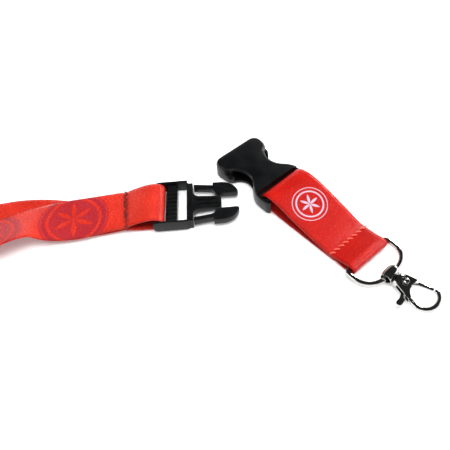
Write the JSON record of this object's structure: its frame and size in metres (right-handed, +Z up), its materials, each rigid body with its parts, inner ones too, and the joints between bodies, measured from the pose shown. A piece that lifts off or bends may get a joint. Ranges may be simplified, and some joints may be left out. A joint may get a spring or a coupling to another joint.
{
  "type": "lanyard",
  "caption": "Red ribbon lanyard with an unclipped black side-release buckle, a short sewn ribbon loop, a D-ring and a nickel swivel snap hook.",
  "frame": {"origin": "middle of the prong half's base, on its flat underside, at the surface the lanyard lies on", "axes": "+X along the prong half towards its prongs, +Y to the far side, +Z up from the surface"},
  "size_m": [0.2904, 0.09, 0.0115],
  "materials": {
    "red_ribbon": "satin woven polyester",
    "dark_thread": "twisted thread",
    "light_thread": "twisted thread",
    "black_elastic": "knitted elastic",
    "black_plastic": "fine moulded satin",
    "nickel": "bright nickel plate",
    "spring_steel": "drawn wire"
  },
  "bodies": {
    "neck_strap": {"neck_strap_loop": "red_ribbon", "neck_strap_front_leg": "red_ribbon", "neck_strap_back_leg": "red_ribbon", "neck_strap_folds": "red_ribbon", "neck_strap_tie": "black_elastic", "neck_strap_stitching": "dark_thread"},
    "prong_half": {"buckle_prong_frame": "black_plastic"},
    "far_arm": {"release_arm_far": "black_plastic"},
    "near_arm": {"release_arm_near": "black_plastic"},
    "socket_half": {"buckle_socket": "black_plastic"},
    "short_ribbon": {"short_strap": "red_ribbon", "short_strap_stitching": "light_thread"},
    "ring": {"d_ring": "nickel"},
    "eye": {"swivel_eye": "nickel"},
    "snap_hook": {"hook_body": "nickel", "gate_rivet": "nickel", "gate_spring": "spring_steel"},
    "gate": {"hook_gate": "nickel"}
  },
  "joints": [
    {"name": "prong_tilt", "type": "hinge", "parent": "neck_strap", "child": "prong_half", "pos_m": [-0.0128, 0, 0.0029], "axis": [0, 1, 0], "range_deg": [-45, 75]},
    {"name": "release_arm_far_press", "type": "hinge", "parent": "prong_half", "child": "far_arm", "pos_m": [0.0015, 0.0089, 0.0028], "axis": [0, 0, -1], "range_deg": [0, 6], "stiffness_Nm_per_rad": 0.5},
    {"name": "release_arm_near_press", "type": "hinge", "parent": "prong_half", "child": "near_arm", "pos_m": [0.0015, -0.0089, 0.0028], "axis": [0, 0, 1], "range_deg": [0, 6], "stiffness_Nm_per_rad": 0.5},
    {"name": "socket_slide", "type": "slide", "parent": "neck_strap", "child": "socket_half", "axis": [0.6157, -0.788, 0], "range_m": [0, 0.03]},
    {"name": "short_strap_tilt", "type": "hinge", "parent": "socket_half", "child": "short_ribbon", "pos_m": [0.03824, 0.00375, 0.0039], "axis": [0.788, 0.6157, 0], "range_deg": [-30, 75]},
    {"name": "d_ring_tilt", "type": "hinge", "parent": "short_ribbon", "child": "ring", "pos_m": [0.06514, -0.03068, 0.0021], "axis": [0.788, 0.6157, 0], "range_deg": [-90, 90]},
    {"name": "eye_tilt", "type": "hinge", "parent": "ring", "child": "eye", "pos_m": [0.07134, -0.04056, 0.0021], "axis": [0.788, 0.6157, 0], "range_deg": [-80, 80]},
    {"name": "hook_swivel", "type": "hinge", "parent": "eye", "child": "snap_hook", "pos_m": [0.07134, -0.04056, 0.0026], "axis": [0.6691, -0.7431, 0], "continuous": true},
    {"name": "gate_press", "type": "hinge", "parent": "snap_hook", "child": "gate", "pos_m": [0.07548, -0.04464, 0.0026], "axis": [0, 0, -1], "range_deg": [0, 22], "stiffness_Nm_per_rad": 0.02}
  ]
}
